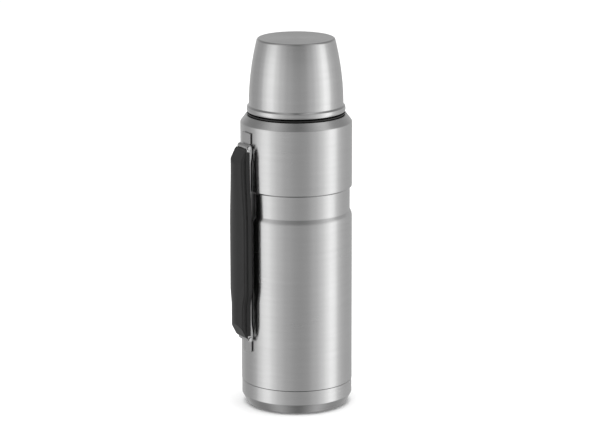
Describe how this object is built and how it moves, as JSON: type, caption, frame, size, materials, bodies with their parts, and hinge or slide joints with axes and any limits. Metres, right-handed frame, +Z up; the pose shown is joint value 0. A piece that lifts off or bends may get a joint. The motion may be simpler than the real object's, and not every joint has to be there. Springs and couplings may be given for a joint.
{
  "type": "vacuum flask",
  "caption": "Steel vacuum flask with a screw-on cup lid, a pour-through stopper, a waist band and a handle that pulls out from the side.",
  "frame": {"origin": "on the flask's axis, at the flat underside; the foot ring that it stands on is 1.2 mm lower than the flat, at z = 0", "axes": "+Z up along the flask's axis, the handle on the -X side, Y across the handle"},
  "size_m": [0.1073, 0.095, 0.3184],
  "materials": {
    "brushed_steel": "fine horizontal brushing, satin",
    "polished_steel": "bright rolled steel",
    "raw_steel": "plain rolled steel, dull",
    "copper_foil": "bright wrapped foil",
    "getter_metal": "sintered, dull",
    "solder_glass": "dark fused glass bead",
    "black_plastic": "fine satin moulding",
    "handle_plastic": "satin moulding",
    "soft_grip": "soft matte overmoulding",
    "silicone": "matte translucent white"
  },
  "bodies": {
    "flask": {"outer_shell": "brushed_steel", "inner_vessel": "polished_steel", "radiation_foil": "copper_foil", "bottom_plate": "raw_steel", "seal_bead": "solder_glass", "getter_ring": "getter_metal", "base_cap": "brushed_steel", "neck_collar": "black_plastic", "mounting_plate": "brushed_steel", "upper_hinge_pin": "polished_steel", "lower_hinge_pin": "polished_steel"},
    "stopper": {"stopper_body": "black_plastic", "valve_seat": "black_plastic", "spout_ring": "black_plastic", "stopper_gasket": "silicone"},
    "knob": {"pour_knob": "black_plastic", "cam_sleeve": "black_plastic"},
    "valve": {"valve_stem": "black_plastic", "valve_seal": "silicone"},
    "cup": {"cup_shell": "brushed_steel", "cup_liner": "black_plastic"},
    "grip": {"grip_frame": "handle_plastic", "grip_cover": "soft_grip"},
    "upper_leg": {"upper_leg": "polished_steel", "upper_slide_pin": "polished_steel"},
    "lower_leg": {"lower_leg": "polished_steel", "lower_slide_pin": "polished_steel"}
  },
  "joints": [
    {"name": "stopper_lift", "type": "slide", "parent": "flask", "child": "stopper", "axis": [0, 0, 1], "range_m": [0, 0.05]},
    {"name": "cup_lift", "type": "slide", "parent": "stopper", "child": "cup", "axis": [0, 0, 1], "range_m": [0, 0.05]},
    {"name": "knob_turn", "type": "hinge", "parent": "stopper", "child": "knob", "pos_m": [0, 0, 0.281], "axis": [0, 0, 1], "range_deg": [0, 90]},
    {"name": "valve_rise", "type": "slide", "parent": "stopper", "child": "valve", "axis": [0, 0, 1], "range_m": [0, 0.004]},
    {"name": "handle_out", "type": "slide", "parent": "flask", "child": "grip", "axis": [-1, 0, 0], "range_m": [0, 0.024]},
    {"name": "upper_leg_turn", "type": "hinge", "parent": "flask", "child": "upper_leg", "pos_m": [-0.0502, 0, 0.23005], "axis": [0, 1, 0], "range_deg": [0, 41.3]},
    {"name": "lower_leg_turn", "type": "hinge", "parent": "flask", "child": "lower_leg", "pos_m": [-0.0502, 0, 0.06335], "axis": [0, -1, 0], "range_deg": [0, 41.3]}
  ],
  "couplings": [
    {"joint": "knob_turn", "follows": "valve_rise", "rad_per_m": 392.6},
    {"joint": "upper_leg_turn", "follows": "handle_out", "rad_per_m": 29.99},
    {"joint": "lower_leg_turn", "follows": "handle_out", "rad_per_m": 29.99}
  ]
}
